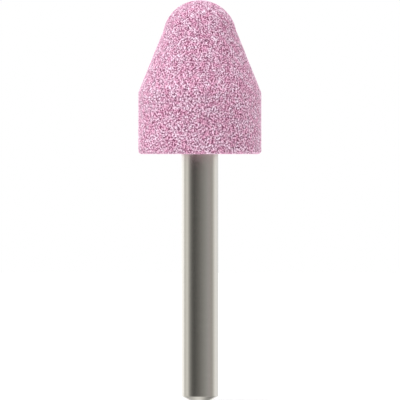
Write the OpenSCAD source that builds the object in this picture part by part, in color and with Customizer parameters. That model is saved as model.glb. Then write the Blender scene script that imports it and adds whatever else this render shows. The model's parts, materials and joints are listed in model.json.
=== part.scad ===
// Mounted point: a vitrified aluminium-oxide grinding head on a plain steel shank.
// The head is a short cylinder that tapers to a ball nose. The shank's knurled end
// sits in a blind hole in the head, and cement fills the space between them.
// +Z runs along the axis towards the nose, and the origin is on the axis at the
// head's flat back face, so the free shank hangs below it. Sizes are in millimetres.

/* [Head] */
// Diameter of the straight part
head_d = 20; // [15:0.5:25]
// Length from the back face to the tip of the nose
head_len = 25; // [23:0.5:40]
// Length of the straight part, from the back face to the shoulder
straight_len = 10; // [5:0.5:13]
// Radius of the ball nose
nose_r = 6; // [4.5:0.1:7]
// How far the ball nose stands proud of the taper that runs up to it
nose_proud = 0.1; // [0.05:0.05:0.3]
// Rounding of the shoulder between the straight part and the taper
shoulder_r = 1; // [0.4:0.1:2]
// Rounding of the rim round the back face
back_edge_r = 0.6; // [0.2:0.1:1.5]

/* [Shank] */
// Diameter of the shank
shank_d = 6; // [3:0.1:8]
// Free length of the shank, from the back face to its end
shank_len = 40; // [25:1:70]
// Length of the chamfer round the free end
end_chamfer = 0.75; // [0.2:0.05:0.85]
// Angle of that chamfer to the axis
end_chamfer_angle = 60; // [30:5:60]

/* [Knurled end in the head] */
// Length of the knurl, which starts at the back face
knurl_len = 13.5; // [8:0.5:16]
// Number of teeth round the knurl
knurl_teeth = 24; // [16:1:36]
// Depth of the teeth, from crest to root
knurl_depth = 0.3; // [0.15:0.05:0.5]
// How far the rolled crests stand proud of the plain shank
knurl_rise = 0.1; // [0.05:0.05:0.2]
// Length of the plain 45-degree tip beyond the knurl
tip_len = 0.5; // [0.2:0.1:0.8]
// How far the tip starts below the roots of the teeth
tip_step = 0.1; // [0.05:0.05:0.2]

/* [Cement] */
// Thickness of the cement over the crests of the knurl
cement_wall = 0.15; // [0.1:0.05:0.4]
// Thickness of the cement beyond the tip
cement_end = 0.5; // [0.2:0.1:1.5]
// How far the cement stops short of the back face
cement_recess = 0.2; // [0.1:0.1:0.6]

/* [Hidden] */
$fn = 96;

head_r = head_d / 2;
shank_r = shank_d / 2;
end_r = shank_r - end_chamfer * tan(end_chamfer_angle);

// The taper leaves the shoulder and just clears the nose: it touches a circle about
// the nose's centre that is smaller than the nose by nose_proud.
nose_z = head_len - nose_r;
taper_r = nose_r - nose_proud;
shoulder_to_nose = norm([head_r, nose_z - straight_len]);
taper_angle = atan2(head_r, nose_z - straight_len) - asin(taper_r / shoulder_to_nose);

crest_r = shank_r + knurl_rise;
root_r = crest_r - knurl_depth;
hole_r = crest_r + cement_wall;
tip_r = root_r - tip_step;
hole_depth = knurl_len + tip_len + cement_end;

// Overshoot of a cutter past the face that it cuts
cut_past = 1;

// Outline of the head in the half-plane right of the axis, with sharp corners.
module head_outline() {
    taper_top = [taper_r * cos(taper_angle), nose_z + taper_r * sin(taper_angle)];
    square([head_r, straight_len]);
    polygon([[0, straight_len], [head_r, straight_len], taper_top, [0, taper_top.y]]);
    intersection() {
        translate([0, nose_z]) circle(nose_r);
        translate([0, nose_z - nose_r]) square([nose_r, 2 * nose_r]);
    }
}

// What a rounding of radius r takes off an outer corner. The outline runs up to the
// corner, which is at the origin, and leaves it turned by the angle bend to the left.
module corner_waste(r, bend) {
    tangent = r * tan(bend / 2);
    centre = [-r, -tangent];
    leaving = [-sin(bend), cos(bend)];
    outward = [cos(bend), sin(bend)];
    difference() {
        polygon([
            centre,
            [0, -tangent],
            [cut_past, -tangent],
            cut_past * [1, 1],
            tangent * leaving + cut_past * outward,
            tangent * leaving
        ]);
        translate(centre) circle(r);
    }
}

module abrasive_head() {
    color([0.83, 0.63, 0.73])
    difference() {
        rotate_extrude()
        difference() {
            head_outline();
            translate([head_r, straight_len]) corner_waste(shoulder_r, taper_angle);
            translate([head_r, 0]) mirror([0, 1]) corner_waste(back_edge_r, 90);
        }
        translate([0, 0, -cut_past]) cylinder(r = hole_r, h = hole_depth + cut_past);
    }
}

// Section of the straight knurl: a ring of pointed teeth.
module knurl_section() {
    polygon([
        for (i = [0 : 2 * knurl_teeth - 1])
        let (r = i % 2 == 0 ? crest_r : root_r, a = i * 180 / knurl_teeth)
        r * [cos(a), sin(a)]
    ]);
}

// The end of the shank that the cement holds: the knurl and the tip that leads it in.
module held_end() {
    linear_extrude(height = knurl_len) knurl_section();
    translate([0, 0, knurl_len]) cylinder(r1 = tip_r, r2 = tip_r - tip_len, h = tip_len);
}

module shank() {
    color([0.6, 0.59, 0.57])
    union() {
        translate([0, 0, -shank_len]) cylinder(r1 = end_r, r2 = shank_r, h = end_chamfer);
        translate([0, 0, end_chamfer - shank_len]) cylinder(r = shank_r, h = shank_len - end_chamfer);
        held_end();
    }
}

module bond_cement() {
    color([0.86, 0.82, 0.74])
    difference() {
        translate([0, 0, cement_recess]) cylinder(r = hole_r, h = hole_depth - cement_recess);
        held_end();
    }
}

abrasive_head();
shank();
bond_cement();
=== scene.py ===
"""A mounted point: a pink vitrified grinding head, cemented on a ground steel shank.

The frame holds the solids, and this script dresses them. The head gets a fine mesh with real grain
relief and a grain material whose pores are darkened with painted shade, the shank a fine mesh with a
ground finish, and the cement a matte finish.
Then come the floor, the studio light and the camera. Lengths are in metres, angles are in degrees where
a name says so, and the colours of the materials are 0 to 255 in sRGB.
"""

import json
import math

import bpy
import numpy as np
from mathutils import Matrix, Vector


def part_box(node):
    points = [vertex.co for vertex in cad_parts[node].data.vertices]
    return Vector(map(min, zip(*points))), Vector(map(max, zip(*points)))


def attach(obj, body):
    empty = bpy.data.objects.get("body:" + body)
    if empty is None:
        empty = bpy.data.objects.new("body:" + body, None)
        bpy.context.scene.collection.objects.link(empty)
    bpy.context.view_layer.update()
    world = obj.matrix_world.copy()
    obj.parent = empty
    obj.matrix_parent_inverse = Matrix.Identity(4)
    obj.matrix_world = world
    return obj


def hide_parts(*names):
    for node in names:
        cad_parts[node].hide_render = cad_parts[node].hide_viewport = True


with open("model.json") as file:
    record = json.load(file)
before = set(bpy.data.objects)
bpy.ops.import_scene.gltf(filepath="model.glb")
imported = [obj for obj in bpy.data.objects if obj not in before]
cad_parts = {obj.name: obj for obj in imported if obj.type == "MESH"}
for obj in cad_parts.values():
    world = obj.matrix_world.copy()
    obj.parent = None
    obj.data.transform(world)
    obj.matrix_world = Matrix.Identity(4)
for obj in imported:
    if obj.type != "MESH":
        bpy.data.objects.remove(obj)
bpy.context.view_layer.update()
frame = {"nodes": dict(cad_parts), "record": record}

MM = 0.001

# Sizes that the frame gives
head_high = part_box("abrasive_head")[1]
shank_low, shank_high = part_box("shank")
cement_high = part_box("bond_cement")[1]
HEAD_R = head_high[0]
HEAD_LEN = head_high[2]
HOLE_R = cement_high[0]
HOLE_DEPTH = cement_high[2]
SHANK_R = frame["record"]["mounts"][0]["dims"]["r_mm"] * MM
SHANK_END = shank_low[2]
TIP_TOP = shank_high[2]

# Sizes of the solids that their boxes do not give
STRAIGHT_LEN = 10 * MM
NOSE_R = 6 * MM
NOSE_PROUD = 0.1 * MM
SHOULDER_R = 1 * MM
BACK_EDGE_R = 0.6 * MM
END_CHAMFER = 0.75 * MM
END_CHAMFER_DEG = 60
KNURL_TEETH = 24
KNURL_DEPTH = 0.3 * MM
KNURL_RISE = 0.1 * MM
TIP_LEN = 0.5 * MM
TIP_STEP = 0.1 * MM

# Mesh of the head and its flat map
SAME_POINT = 1e-9  # distance within which two points are one
MESH_EDGE = 0.143 * MM  # side of a triangle
RING_LEAST = 6  # fewest vertices in a ring
MAP_NAME = "OFBake"
MAP_MARGIN = 0.004  # share of the map that is left free along its edges
HOLE_SHARE = 0.02  # share of the map's height that the hole takes

# Mesh of the shank
EDGE_BREAK = 0.06 * MM  # rounding of the chamfer's two edges
BREAK_STEPS = 4  # steps along a rounding for each radius of its length
SHANK_COLUMNS = 8 * KNURL_TEETH
SHANK_STEP = 1 * MM  # distance between rings along the free shank
END_STEP = 0.3 * MM  # distance between rings on the flat end
END_CENTRE_R = 0.2 * MM  # radius of the innermost ring there
SHARP_DEG = 35  # faces that meet at more than this have a sharp edge

# Grain of the head
GRAIN_SIZE = 0.2 * MM
CRYSTAL_SIZE = 0.16 * MM
CRYSTAL_SHARE = 0.1  # how much a crystal's own random value adds to the height
GRAIN_SPREAD = 0.295  # how far the noise goes from its mean to a pore's bottom or a grain's top
PORE_DEPTH = 0.09 * MM
SWELL_PLACES = 8  # places round about whose mean shows a wide swell
SWELL_REACH = 0.32 * MM  # how far off those places are
SWELL_SHARE = 0.4  # share of a swell that is taken off

# Noise in general
NOISE_RANGE = (0.3, 0.7)  # range that most of its values lie in
NOISE_TURN = (0.7, 0.4, 0.9)  # turn in radians, so that its lattice lines up with no axis

# Finish of the head
# Colours of the grain from a pore's bottom, which is painted shade in the pores, to a grain's top
PORE_SHADE_COLOUR = (104, 48, 77)
FLANK_COLOUR = (201, 143, 172)
TOP_COLOUR = (252, 215, 237)
PATCH_SIZE = 1 * MM  # width of the patches of deeper and paler colour
PATCH_DETAIL = 1.0
DEEP_TINT = (0.955, 0.8, 0.87, 1.0)  # linear factors on the colour
PALE_TINT = (1.025, 1.205, 1.125, 1.0)
CRYSTAL_ROUGHNESS = (0.5, 0.9)
HEAD_SPECULAR = 0.3
HEAD_SHEEN = 0.26
HEAD_SHEEN_ROUGHNESS = 0.4
POWDER_SIZE = 0.06 * MM  # fine roughness on the grains
POWDER_DEPTH = 0.03 * MM
POWDER_STRENGTH = 0.25

# Finish of the shank
STEEL_COLOURS = ((198, 194, 184), (204, 200, 190))
STEEL_ROUGHNESS = (0.235, 0.265)
STEEL_STREAK = 0.6  # how far the grinding lines draw out a reflection
STEEL_STREAK_TURN = 0.25  # direction of that, as a share of a full turn
LINE_SIZE = 0.25 * MM  # width of the grinding lines before they are stretched
LINE_STRETCH = (0.12, 0.12, 6.0)  # scale of the lines' noise, which draws them out round the axis
LINE_DETAIL = 3.0
LINE_DEPTH = 0.01 * MM
LINE_STRENGTH = 0.03

# Finish of the cement
CEMENT_COLOURS = ((172, 160, 140), (214, 206, 190))
CEMENT_ROUGHNESS = 0.9
GRIT_SIZE = 0.12 * MM
GRIT_DETAIL = 4.0
GRIT_DEPTH = 0.03 * MM
GRIT_STRENGTH = 0.4

# Floor
FLOOR_R = 1.2
FLOOR_SIDES = 96
FLOOR_BOUNCE = 0.9  # how much light it throws back on the part
FLOOR_SEEN = 0.65  # the same, as the camera sees it
FLOOR_LIFT = 0.29  # light that makes it white for the camera, with the part's shadow kept

# Room that reflections show, by direction. A direction is a unit vector: x to the right, y away from the
# camera and z up. A tint is a linear factor on each level.
PLAIN = (1.0, 1.0, 1.0)
COOL = (1.0, 1.012, 1.05)
ROSY = (1.0, 0.94, 1.0)
WARM = (1.0, 0.98, 0.95)

# Levels and tints round the horizon, by degrees from the camera's side, to the right
RING = (
    # Wall behind on the left
    (-180, 1.15, COOL),
    (-150, 1.5, COOL),
    (-121, 1.6, COOL),
    # Panel on the left
    (-114, 0.88, PLAIN),
    (-100, 0.86, PLAIN),
    (-84, 1.07, PLAIN),
    # Dark card in front, thinner to the right
    (-72, 0.57, PLAIN),
    (-62, 0.3, PLAIN),
    (-48, 0.125, PLAIN),
    (-32, 0.085, PLAIN),
    (-8, 0.17, PLAIN),
    (16, 0.29, PLAIN),
    # Dim panel on the right
    (50, 0.455, COOL),
    (60, 0.5, ROSY),
    (84, 0.5, WARM),
    # Wall behind on the right
    (108, 1.13, COOL),
    (118, 1.23, COOL),
    (134, 1.08, COOL),
    (180, 0.86, COOL),
)

# Well above and below the horizon the ring fades to one level
FADE_Z = (0.22, 0.45)
FADE_SHARE = 0.5
FADE_LEVEL = 0.8

# Floor behind, which the chamfer shows: levels by x, and a bright strip where it meets the wall
BEHIND_Y = (0.0, 0.5)
BEHIND_LEVELS = ((-0.25, 0.58), (-0.08, 1.15), (0.03, 1.1), (0.22, 0.31))
STRIP_Y = (0.5, 0.8)
STRIP_Z = (-0.59, -0.36)
STRIP_LEVEL = 1.55

# Soft light all round: its level, and how much it gains away from the camera and upwards
SOFT_LEVEL = 0.53
SOFT_BACK = 0.53
SOFT_UP = 0.42

# Lamps: where each one stands, and how bright it makes a white surface that faces it
SUN_WIDTH_DEG = 40
KEY_FROM = (-0.35, -0.25, 0.9)
KEY_LEVEL = 0.84
RIM_FROM = (0.8, 0.55, 0.2)
RIM_LEVEL = 0.08

# Camera: the size of a pixel at the part, and where the axis and the nose's tip lie in the picture
PIXEL = 0.1622 * MM
IMAGE = 400
AXIS_X_PX = 199.78
TIP_Y_PX = 0.05
CAMERA_DISTANCE = 1.13
SENSOR_WIDTH = 36  # in millimetres, as is the lens
CLIP_END = 10


# Profiles and meshes

def line(start, end, step):
    """Points from start to end, both included, about step apart."""
    start, end = np.array(start), np.array(end)
    count = max(1, round(np.linalg.norm(end - start) / step))
    return [tuple(start + (end - start) * i / count) for i in range(count + 1)]


def arc(centre, radius, first_deg, last_deg, step):
    """Points on an arc about centre, both ends included, about step apart."""
    count = max(1, round(radius * math.radians(abs(last_deg - first_deg)) / step))
    angles = [math.radians(first_deg + (last_deg - first_deg) * i / count) for i in range(count + 1)]
    return [(centre[0] + radius * math.cos(a), centre[1] + radius * math.sin(a)) for a in angles]


def joined(*runs):
    """Runs of points end to end, with the points that they share kept once."""
    points = list(runs[0])
    for run in runs[1:]:
        points += run[1:] if np.allclose(points[-1], run[0], atol=SAME_POINT) else run
    return points


def new_object(name, vertices, faces):
    """A mesh object, linked to the scene."""
    mesh = bpy.data.meshes.new(name)
    mesh.from_pydata(vertices, [], faces)
    mesh.update()
    obj = bpy.data.objects.new(name, mesh)
    bpy.context.scene.collection.objects.link(obj)
    return obj


# Nodes

def math_node(tree, operation, first, second=None, third=None):
    """A math node on sockets or numbers. Returns its result."""
    node = tree.nodes.new("ShaderNodeMath")
    node.operation = operation
    for socket, value in zip(node.inputs, (first, second, third)):
        if isinstance(value, bpy.types.NodeSocket):
            tree.links.new(value, socket)
        elif value is not None:
            socket.default_value = value
    return node.outputs[0]


def smooth_step(tree, value, low, high, to_low=0.0, to_high=1.0):
    """A smooth rise from to_low to to_high as value goes from low to high."""
    node = tree.nodes.new("ShaderNodeMapRange")
    node.interpolation_type = "SMOOTHSTEP"
    tree.links.new(value, node.inputs["Value"])
    for name, number in (("From Min", low), ("From Max", high), ("To Min", to_low), ("To Max", to_high)):
        node.inputs[name].default_value = number
    return node.outputs["Result"]


def noise(tree, place, size, detail=0.0):
    """A noise texture, turned askew, whose features are about size wide. Returns its value."""
    askew = tree.nodes.new("ShaderNodeVectorRotate")
    askew.rotation_type = "EULER_XYZ"
    askew.inputs["Rotation"].default_value = NOISE_TURN
    tree.links.new(place, askew.inputs["Vector"])
    node = tree.nodes.new("ShaderNodeTexNoise")
    node.inputs["Scale"].default_value = 1 / size
    node.inputs["Detail"].default_value = detail
    tree.links.new(askew.outputs[0], node.inputs["Vector"])
    return node.outputs["Fac"]


def colour_ramp(tree, value, stops):
    """A colour ramp on value. The stops are (position, colour) pairs."""
    node = tree.nodes.new("ShaderNodeValToRGB")
    elements = node.color_ramp.elements
    elements[0].position, elements[0].color = stops[0]
    elements[1].position, elements[1].color = stops[-1]
    for position, colour in stops[1:-1]:
        elements.new(position).color = colour
    tree.links.new(value, node.inputs["Fac"])
    return node.outputs["Color"]


def blend(tree, mode, factor, first, second):
    """A colour mix of first and second, sockets or colours."""
    node = tree.nodes.new("ShaderNodeMix")
    node.data_type = "RGBA"
    node.blend_type = mode
    sockets = {s.identifier: s for s in node.inputs}
    for key, value in (("Factor_Float", factor), ("A_Color", first), ("B_Color", second)):
        if isinstance(value, bpy.types.NodeSocket):
            tree.links.new(value, sockets[key])
        else:
            sockets[key].default_value = value
    return next(s for s in node.outputs if s.identifier == "Result_Color")


# Grain

def even_noise(tree, place, size):
    """Noise with its wide swells damped, by taking off a share of its mean at places round about."""
    middle = noise(tree, place, size)
    total = 0.0
    for i in range(SWELL_PLACES):
        angle = 2 * math.pi * i / SWELL_PLACES
        turn = tree.nodes.new("ShaderNodeVectorRotate")
        turn.rotation_type = "Z_AXIS"
        turn.inputs["Angle"].default_value = SWELL_REACH * math.cos(angle) / HEAD_R
        tree.links.new(place, turn.inputs["Vector"])
        lift = tree.nodes.new("ShaderNodeVectorMath")
        lift.inputs[1].default_value = (0, 0, SWELL_REACH * math.sin(angle))
        tree.links.new(turn.outputs[0], lift.inputs[0])
        total = math_node(tree, "ADD", noise(tree, lift.outputs[0], size), total)
    swell = math_node(tree, "MULTIPLY_ADD", total, -SWELL_SHARE / SWELL_PLACES, SWELL_SHARE / 2)
    return math_node(tree, "ADD", middle, swell)


def grain_field(tree, place):
    """Adds the grain to a tree.

    Returns how far a place stands up, from the bottom of a pore at 0 to a grain's top at 1, and a random
    value of the crystal that it lies in.
    """
    crystals = tree.nodes.new("ShaderNodeTexVoronoi")
    crystals.inputs["Scale"].default_value = 1 / CRYSTAL_SIZE
    tree.links.new(place, crystals.inputs["Vector"])
    own = tree.nodes.new("ShaderNodeSeparateXYZ")
    tree.links.new(crystals.outputs["Color"], own.inputs[0])
    grains = even_noise(tree, place, GRAIN_SIZE)
    step = math_node(tree, "SUBTRACT", own.outputs["X"], 0.5)
    spread = math_node(tree, "MULTIPLY_ADD", step, CRYSTAL_SHARE, grains)
    height = smooth_step(tree, spread, 0.5 - GRAIN_SPREAD, 0.5 + GRAIN_SPREAD)
    return height, own.outputs["Y"]


def relief_nodes():
    """A geometry node group that sinks the surface between the grains."""
    tree = bpy.data.node_groups.new("grain_relief", "GeometryNodeTree")
    tree.interface.new_socket("Geometry", in_out="INPUT", socket_type="NodeSocketGeometry")
    tree.interface.new_socket("Geometry", in_out="OUTPUT", socket_type="NodeSocketGeometry")
    start = tree.nodes.new("NodeGroupInput")
    end = tree.nodes.new("NodeGroupOutput")
    place = tree.nodes.new("GeometryNodeInputPosition")
    normal = tree.nodes.new("GeometryNodeInputNormal")
    shift = tree.nodes.new("GeometryNodeSetPosition")
    height, _ = grain_field(tree, place.outputs[0])
    depth = math_node(tree, "MULTIPLY_ADD", height, PORE_DEPTH, -PORE_DEPTH)
    offset = tree.nodes.new("ShaderNodeVectorMath")
    offset.operation = "SCALE"
    tree.links.new(normal.outputs[0], offset.inputs[0])
    tree.links.new(depth, offset.inputs["Scale"])
    tree.links.new(start.outputs[0], shift.inputs["Geometry"])
    tree.links.new(offset.outputs[0], shift.inputs["Offset"])
    tree.links.new(shift.outputs[0], end.inputs[0])
    return tree


def with_relief(obj):
    """Runs the relief on the object and keeps the result as its mesh."""
    modifier = obj.modifiers.new("relief", "NODES")
    modifier.node_group = relief_nodes()
    evaluated = obj.evaluated_get(bpy.context.evaluated_depsgraph_get())
    mesh = bpy.data.meshes.new_from_object(evaluated)
    obj.modifiers.clear()
    obj.data = mesh


# Head

def head_profile(step):
    """The head's outer profile as (radius, height) points, from the tip of the nose to the hole's rim."""
    nose_z = HEAD_LEN - NOSE_R
    taper_r = NOSE_R - NOSE_PROUD
    rise = nose_z - STRAIGHT_LEN
    taper = math.degrees(math.atan2(HEAD_R, rise) - math.asin(taper_r / math.hypot(HEAD_R, rise)))
    kink = taper - math.degrees(math.acos(taper_r / NOSE_R))
    shoulder = (HEAD_R - SHOULDER_R, STRAIGHT_LEN - SHOULDER_R * math.tan(math.radians(taper / 2)))
    rim = (HEAD_R - BACK_EDGE_R, BACK_EDGE_R)
    nose_arc = arc((0, nose_z), NOSE_R, 90, kink, step)
    shoulder_arc = arc(shoulder, SHOULDER_R, taper, 0, step)
    rim_arc = arc(rim, BACK_EDGE_R, 0, -90, step)
    return joined(
        nose_arc,
        line(nose_arc[-1], shoulder_arc[0], step),
        shoulder_arc,
        line(shoulder_arc[-1], rim_arc[0], step),
        rim_arc,
        line(rim_arc[-1], (HOLE_R, 0), step),
    )


def ring_angles(radius, edge, turn):
    """Angles of a ring's vertices, about edge apart, with the ring turned by a share of a step."""
    count = max(RING_LEAST, round(2 * math.pi * radius / edge))
    return [2 * math.pi * (i + turn) / count for i in range(count)]


def zipped(start_a, start_b, angles_a, angles_b):
    """Triangles between two rings whose vertices start at start_a and start_b, by walking both at once."""
    faces = []
    a, b = 0, 0
    count_a, count_b = len(angles_a), len(angles_b)
    while a < count_a or b < count_b:
        here_a, here_b = start_a + a % count_a, start_b + b % count_b
        next_a = angles_a[a + 1] if a + 1 < count_a else angles_a[0] + 2 * math.pi
        next_b = angles_b[b + 1] if b + 1 < count_b else angles_b[0] + 2 * math.pi
        if b >= count_b or (a < count_a and next_a <= next_b):
            faces.append((here_a, here_b, start_a + (a + 1) % count_a))
            a += 1
        else:
            faces.append((here_a, here_b, start_b + (b + 1) % count_b))
            b += 1
    return faces


def lathe(profile, edge):
    """Vertices and triangles of a turned skin whose first and last profile points lie on the axis.

    Every other ring is turned by half a step, so that the triangles are even. Returns the number of the
    profile point that each vertex lies on as well.
    """
    vertices = [(0, 0, profile[0][1])]
    points = [0]
    faces = []
    previous = None
    for i, (radius, height) in enumerate(profile[1:-1]):
        angles = ring_angles(radius, edge, 0.5 * (i % 2))
        first = len(vertices)
        vertices += [(radius * math.cos(a), radius * math.sin(a), height) for a in angles]
        count = len(angles)
        points += [i + 1] * count
        if previous is None:
            faces += [(0, first + k, first + (k + 1) % count) for k in range(count)]
        else:
            faces += zipped(previous[0], first, previous[1], angles)
        previous = (first, angles)
    tip = len(vertices)
    vertices.append((0, 0, profile[-1][1]))
    points.append(len(profile) - 1)
    first, angles = previous
    count = len(angles)
    faces += [(first + k, tip, first + (k + 1) % count) for k in range(count)]
    return vertices, faces, points


def lay_flat(mesh, vertices, faces, along):
    """Maps a turned skin: the turn about the axis runs across, and the way along the profile runs up."""
    x, y = np.array(vertices).T[:2]
    corners = np.array(faces)
    across = (np.arctan2(y, x) / (2 * math.pi) % 1)[corners]
    on_axis = (np.hypot(x, y) < SAME_POINT)[corners]
    across[on_axis] = np.roll(across, 1, axis=1)[on_axis]
    over_seam = (np.ptp(across, axis=1) > 0.5)[:, None] & (across < 0.5)
    across[over_seam] += 1
    others = (across.sum(axis=1, keepdims=True) - across) / 2
    across[on_axis] = others[on_axis]
    across = np.minimum(across, 1 + MAP_MARGIN)
    spots = np.stack((across, np.array(along)[corners]), axis=-1) * (1 - 2 * MAP_MARGIN) + MAP_MARGIN
    layer = mesh.uv_layers.new(name=MAP_NAME)
    layer.data.foreach_set("uv", spots.astype(np.float32).ravel())


def make_head():
    """The head: a fine turned skin with a map, grain relief and each vertex's place before the relief."""
    row_step = MESH_EDGE * math.sqrt(3) / 2
    profile = head_profile(row_step)
    hole = [(HOLE_R, HOLE_DEPTH), (0, HOLE_DEPTH)]
    vertices, faces, points = lathe(profile + hole, MESH_EDGE)
    head = new_object("grinding_head", vertices, faces)
    lengths = np.linalg.norm(np.diff(profile, axis=0), axis=1)
    way = np.concatenate(([0], np.cumsum(lengths)))
    way = np.concatenate((way / way[-1] * (1 - HOLE_SHARE), [1 - HOLE_SHARE / 2, 1]))
    lay_flat(head.data, vertices, faces, 1 - way[points])
    rest = head.data.attributes.new("rest", "FLOAT_VECTOR", "POINT")
    rest.data.foreach_set("vector", np.array(vertices, dtype=np.float32).ravel())
    with_relief(head)
    return head


# Shank

def star_radius(angle, crest, root):
    """Radius at an angle of the knurl's section, a ring of straight-sided teeth."""
    step = math.pi / KNURL_TEETH
    share = (angle / step) % 2
    share = share if share <= 1 else 2 - share
    tip = np.array((crest, 0.0))
    foot = root * np.array((math.cos(step), math.sin(step)))
    side = foot - tip
    turn = share * step
    ray = np.array((math.cos(turn), math.sin(turn)))
    along = (tip[0] * ray[1]) / (side[1] * ray[0] - side[0] * ray[1])
    return float(np.dot(tip + along * side, ray))


def free_profile():
    """The free shank as (radius, height) points, from the middle of its flat end up to the back face."""
    slope = math.radians(END_CHAMFER_DEG)
    end_r = SHANK_R - END_CHAMFER * math.tan(slope)
    low = (end_r - EDGE_BREAK * math.tan((math.pi / 2 - slope) / 2), SHANK_END + EDGE_BREAK)
    high = (SHANK_R - EDGE_BREAK, SHANK_END + END_CHAMFER + EDGE_BREAK * math.tan(slope / 2))
    return joined(
        line((END_CENTRE_R, SHANK_END), (low[0], SHANK_END), END_STEP),
        arc(low, EDGE_BREAK, -90, -END_CHAMFER_DEG, EDGE_BREAK / BREAK_STEPS),
        arc(high, EDGE_BREAK, -END_CHAMFER_DEG, 0, EDGE_BREAK / BREAK_STEPS),
        line((SHANK_R, high[1]), (SHANK_R, 0), SHANK_STEP),
    )


def shank_sections(angles):
    """The shank's sections from its free end to its tip, as (radius at each angle, height) pairs."""
    crest = SHANK_R + KNURL_RISE
    root = crest - KNURL_DEPTH
    tip_r = root - TIP_STEP
    knurl_top = TIP_TOP - TIP_LEN
    teeth = [star_radius(a, crest, root) for a in angles]
    sections = [([radius] * len(angles), height) for radius, height in free_profile()]
    return sections + [
        (teeth, 0),
        (teeth, knurl_top),
        ([tip_r] * len(angles), knurl_top),
        ([tip_r - TIP_LEN] * len(angles), TIP_TOP),
    ]


def make_shank():
    """The shank: a skin over its sections, closed at both ends."""
    angles = [2 * math.pi * i / SHANK_COLUMNS for i in range(SHANK_COLUMNS)]
    columns = [(k, (k + 1) % SHANK_COLUMNS) for k in range(SHANK_COLUMNS)]
    sections = shank_sections(angles)
    vertices = [
        (radius * math.cos(a), radius * math.sin(a), height)
        for radii, height in sections
        for radius, a in zip(radii, angles)
    ]
    last = len(vertices) - SHANK_COLUMNS
    end, tip = len(vertices), len(vertices) + 1
    vertices += [(0, 0, SHANK_END), (0, 0, TIP_TOP)]
    faces = []
    for low in range(0, last, SHANK_COLUMNS):
        high = low + SHANK_COLUMNS
        faces += [(low + k, low + after, high + after, high + k) for k, after in columns]
    faces += [(after, k, end) for k, after in columns]
    faces += [(last + k, last + after, tip) for k, after in columns]
    shank = new_object("ground_shank", vertices, faces)
    shank.data.set_sharp_from_angle(angle=math.radians(SHARP_DEG))
    for polygon in shank.data.polygons:
        polygon.use_smooth = True
    return shank


# Materials

def linear(colour):
    """A colour given as 0 to 255 in sRGB, as linear RGBA."""
    parts = [c / 255 for c in colour]
    return [p / 12.92 if p <= 0.04045 else ((p + 0.055) / 1.055) ** 2.4 for p in parts] + [1.0]


def new_material(name):
    """A material with its node tree and its shader."""
    material = bpy.data.materials.new(name)
    material.use_nodes = True
    tree = material.node_tree
    return material, tree, tree.nodes["Principled BSDF"]


def noise_colour(tree, value, colours):
    """A colour between two, by a noise's value."""
    return colour_ramp(tree, value, [(stop, linear(colour)) for stop, colour in zip(NOISE_RANGE, colours)])


def add_bump(tree, shader, height, depth, strength):
    """Gives a shader fine roughness from a height."""
    bump = tree.nodes.new("ShaderNodeBump")
    bump.inputs["Strength"].default_value = strength
    bump.inputs["Distance"].default_value = depth
    tree.links.new(height, bump.inputs["Height"])
    tree.links.new(bump.outputs[0], shader.inputs["Normal"])


def grain_material():
    """Pink grain, with painted shade that darkens it down into the pores and paler tops, in patches of
    slightly different tint.
    """
    material, tree, shader = new_material("pink_grain")
    rest = tree.nodes.new("ShaderNodeAttribute")
    rest.attribute_name = "rest"
    place = rest.outputs["Vector"]
    height, crystal = grain_field(tree, place)
    # Painted shade: the colour darkens from a grain's top down to the bottom of a pore
    base = colour_ramp(tree, height, [
        (0.0, linear(PORE_SHADE_COLOUR)),
        (0.5, linear(FLANK_COLOUR)),
        (1.0, linear(TOP_COLOUR)),
    ])
    patches = smooth_step(tree, noise(tree, place, PATCH_SIZE, PATCH_DETAIL), *NOISE_RANGE)
    tint = blend(tree, "MIX", patches, DEEP_TINT, PALE_TINT)
    tree.links.new(blend(tree, "MULTIPLY", 1.0, base, tint), shader.inputs["Base Color"])
    shader.inputs["Specular IOR Level"].default_value = HEAD_SPECULAR
    shader.inputs["Sheen Weight"].default_value = HEAD_SHEEN
    shader.inputs["Sheen Roughness"].default_value = HEAD_SHEEN_ROUGHNESS
    roughness = smooth_step(tree, crystal, 0.0, 1.0, *CRYSTAL_ROUGHNESS)
    tree.links.new(roughness, shader.inputs["Roughness"])
    add_bump(tree, shader, noise(tree, place, POWDER_SIZE), POWDER_DEPTH, POWDER_STRENGTH)
    return material


def steel_material():
    """Satin steel with fine grinding lines round the axis."""
    material, tree, shader = new_material("ground_steel")
    coords = tree.nodes.new("ShaderNodeTexCoord")
    stretch = tree.nodes.new("ShaderNodeMapping")
    stretch.inputs["Scale"].default_value = LINE_STRETCH
    tree.links.new(coords.outputs["Object"], stretch.inputs["Vector"])
    lines = noise(tree, stretch.outputs[0], LINE_SIZE, LINE_DETAIL)
    tree.links.new(noise_colour(tree, lines, STEEL_COLOURS), shader.inputs["Base Color"])
    shader.inputs["Metallic"].default_value = 1.0
    shader.inputs["Anisotropic"].default_value = STEEL_STREAK
    shader.inputs["Anisotropic Rotation"].default_value = STEEL_STREAK_TURN
    roughness = smooth_step(tree, lines, *NOISE_RANGE, *STEEL_ROUGHNESS)
    tree.links.new(roughness, shader.inputs["Roughness"])
    add_bump(tree, shader, lines, LINE_DEPTH, LINE_STRENGTH)
    return material


def cement_material():
    """Matte, gritty cement."""
    material, tree, shader = new_material("cement")
    coords = tree.nodes.new("ShaderNodeTexCoord")
    grit = noise(tree, coords.outputs["Object"], GRIT_SIZE, GRIT_DETAIL)
    tree.links.new(noise_colour(tree, grit, CEMENT_COLOURS), shader.inputs["Base Color"])
    shader.inputs["Roughness"].default_value = CEMENT_ROUGHNESS
    add_bump(tree, shader, grit, GRIT_DEPTH, GRIT_STRENGTH)
    return material


# Stage

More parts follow.
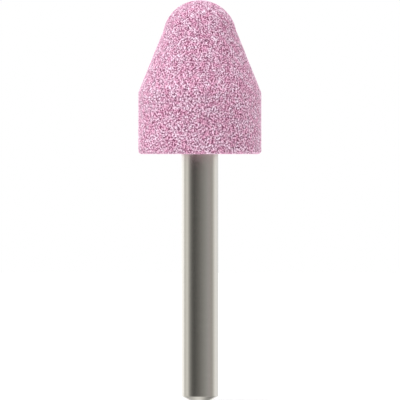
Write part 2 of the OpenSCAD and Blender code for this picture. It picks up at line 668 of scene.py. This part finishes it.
def floor_material():
    """White paper on its upper side, and clear from below."""
    material = bpy.data.materials.new("pale_floor")
    material.use_nodes = True
    tree = material.node_tree
    tree.nodes.clear()
    out = tree.nodes.new("ShaderNodeOutputMaterial")
    path = tree.nodes.new("ShaderNodeLightPath")
    seen = path.outputs["Is Camera Ray"]
    paper = tree.nodes.new("ShaderNodeBsdfDiffuse")
    tree.links.new(smooth_step(tree, seen, 0.0, 1.0, FLOOR_BOUNCE, FLOOR_SEEN), paper.inputs["Color"])
    lift = tree.nodes.new("ShaderNodeEmission")
    tree.links.new(math_node(tree, "MULTIPLY", seen, FLOOR_LIFT), lift.inputs["Strength"])
    lit = tree.nodes.new("ShaderNodeAddShader")
    tree.links.new(paper.outputs[0], lit.inputs[0])
    tree.links.new(lift.outputs[0], lit.inputs[1])
    clear = tree.nodes.new("ShaderNodeBsdfTransparent")
    side = tree.nodes.new("ShaderNodeNewGeometry")
    top = tree.nodes.new("ShaderNodeMixShader")
    tree.links.new(side.outputs["Backfacing"], top.inputs[0])
    tree.links.new(lit.outputs[0], top.inputs[1])
    tree.links.new(clear.outputs[0], top.inputs[2])
    tree.links.new(top.outputs[0], out.inputs["Surface"])
    return material


def make_floor():
    """A round floor under the shank's end, which no reflection shows."""
    turns = [2 * math.pi * i / FLOOR_SIDES for i in range(FLOOR_SIDES)]
    rim = [(FLOOR_R * math.cos(t), FLOOR_R * math.sin(t), SHANK_END) for t in turns]
    floor = new_object("floor", rim, [tuple(range(FLOOR_SIDES))])
    floor.data.materials.append(floor_material())
    floor.visible_glossy = False
    return floor


def light_colour(level, tint=PLAIN):
    """A level of light in a tint, as linear RGBA."""
    return (*(level * part for part in tint), 1.0)


def reflected_room(tree, x, y, z):
    """The room that reflections show, by direction."""
    turn = math_node(tree, "ARCTAN2", x, math_node(tree, "MULTIPLY", y, -1.0))
    share = math_node(tree, "MULTIPLY_ADD", turn, 1 / (2 * math.pi), 0.5)
    ring_stops = [(degrees / 360 + 0.5, light_colour(level, tint)) for degrees, level, tint in RING]
    ring = colour_ramp(tree, share, ring_stops)
    faded = blend(tree, "MIX", FADE_SHARE, ring, light_colour(FADE_LEVEL))
    floor_stops = [(place + 0.5, light_colour(level)) for place, level in BEHIND_LEVELS]
    floor = colour_ramp(tree, math_node(tree, "ADD", x, 0.5), floor_stops)
    strip = math_node(tree, "MULTIPLY", smooth_step(tree, z, *STRIP_Z), smooth_step(tree, y, *STRIP_Y))
    backdrop = blend(tree, "MIX", strip, floor, light_colour(STRIP_LEVEL))
    below = math_node(tree, "LESS_THAN", z, 0.0)
    behind = math_node(tree, "MULTIPLY", below, smooth_step(tree, y, *BEHIND_Y))
    ends = blend(tree, "MIX", behind, faded, backdrop)
    tilt = smooth_step(tree, math_node(tree, "ABSOLUTE", z), *FADE_Z)
    return blend(tree, "MIX", tilt, ring, ends)


def make_world():
    """The studio: the room for reflections, soft light for the rest, and white for the camera.

    Each kind of ray sees its own level, so the world is not sampled as one lamp.
    """
    world = bpy.data.worlds.new("studio")
    bpy.context.scene.world = world
    world.use_nodes = True
    world.cycles.sampling_method = "NONE"
    tree = world.node_tree
    tree.nodes.clear()
    out = tree.nodes.new("ShaderNodeOutputWorld")
    coords = tree.nodes.new("ShaderNodeTexCoord")
    parts = tree.nodes.new("ShaderNodeSeparateXYZ")
    tree.links.new(coords.outputs["Generated"], parts.inputs[0])
    x, y, z = parts.outputs
    room = reflected_room(tree, x, y, z)
    upward = math_node(tree, "MULTIPLY_ADD", z, SOFT_UP, SOFT_LEVEL)
    soft = math_node(tree, "MULTIPLY_ADD", y, SOFT_BACK, upward)
    path = tree.nodes.new("ShaderNodeLightPath")
    glossy = math_node(tree, "MAXIMUM", path.outputs["Is Glossy Ray"], path.outputs["Is Transmission Ray"])
    colour = blend(tree, "MIX", glossy, soft, room)
    colour = blend(tree, "MIX", path.outputs["Is Camera Ray"], colour, light_colour(1.0))
    light = tree.nodes.new("ShaderNodeBackground")
    tree.links.new(colour, light.inputs["Color"])
    tree.links.new(light.outputs[0], out.inputs["Surface"])


def aim(obj, target):
    """Turns a lamp or a camera to a target."""
    toward = np.array(target) - np.array(obj.location)
    obj.rotation_mode = "QUATERNION"
    obj.rotation_quaternion = Vector(toward).to_track_quat("-Z", "Y")


def make_sun(name, stand, level):
    """A soft sun that shines from where it stands to the origin, and that no reflection shows."""
    data = bpy.data.lights.new(name, "SUN")
    data.angle = math.radians(SUN_WIDTH_DEG)
    data.energy = level * math.pi
    lamp = bpy.data.objects.new(name, data)
    lamp.location = stand
    lamp.visible_glossy = False
    bpy.context.scene.collection.objects.link(lamp)
    aim(lamp, (0, 0, 0))


def make_camera():
    """The camera, level with the head's back face and aimed at the middle of the picture."""
    data = bpy.data.cameras.new("camera")
    data.sensor_width = SENSOR_WIDTH
    data.lens = data.sensor_width * CAMERA_DISTANCE / (PIXEL * IMAGE)
    data.clip_end = CLIP_END
    camera = bpy.data.objects.new("camera", data)
    x = (IMAGE / 2 - AXIS_X_PX) * PIXEL
    z = HEAD_LEN - (IMAGE / 2 - TIP_Y_PX) * PIXEL
    camera.location = (x, -CAMERA_DISTANCE, 0)
    aim(camera, (x, 0, z))
    bpy.context.scene.collection.objects.link(camera)
    bpy.context.scene.camera = camera


# Part and stage

head = make_head()
head.data.materials.append(grain_material())
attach(head, "root")
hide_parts("abrasive_head")

shank = make_shank()
shank.data.materials.append(steel_material())
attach(shank, "root")
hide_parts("shank")

cement = frame["nodes"]["bond_cement"]
cement.data.materials.clear()
cement.data.materials.append(cement_material())

make_floor()
make_world()
make_sun("key", KEY_FROM, KEY_LEVEL)
make_sun("rim", RIM_FROM, RIM_LEVEL)
make_camera()

scene = bpy.context.scene
scene.view_settings.view_transform = "Standard"
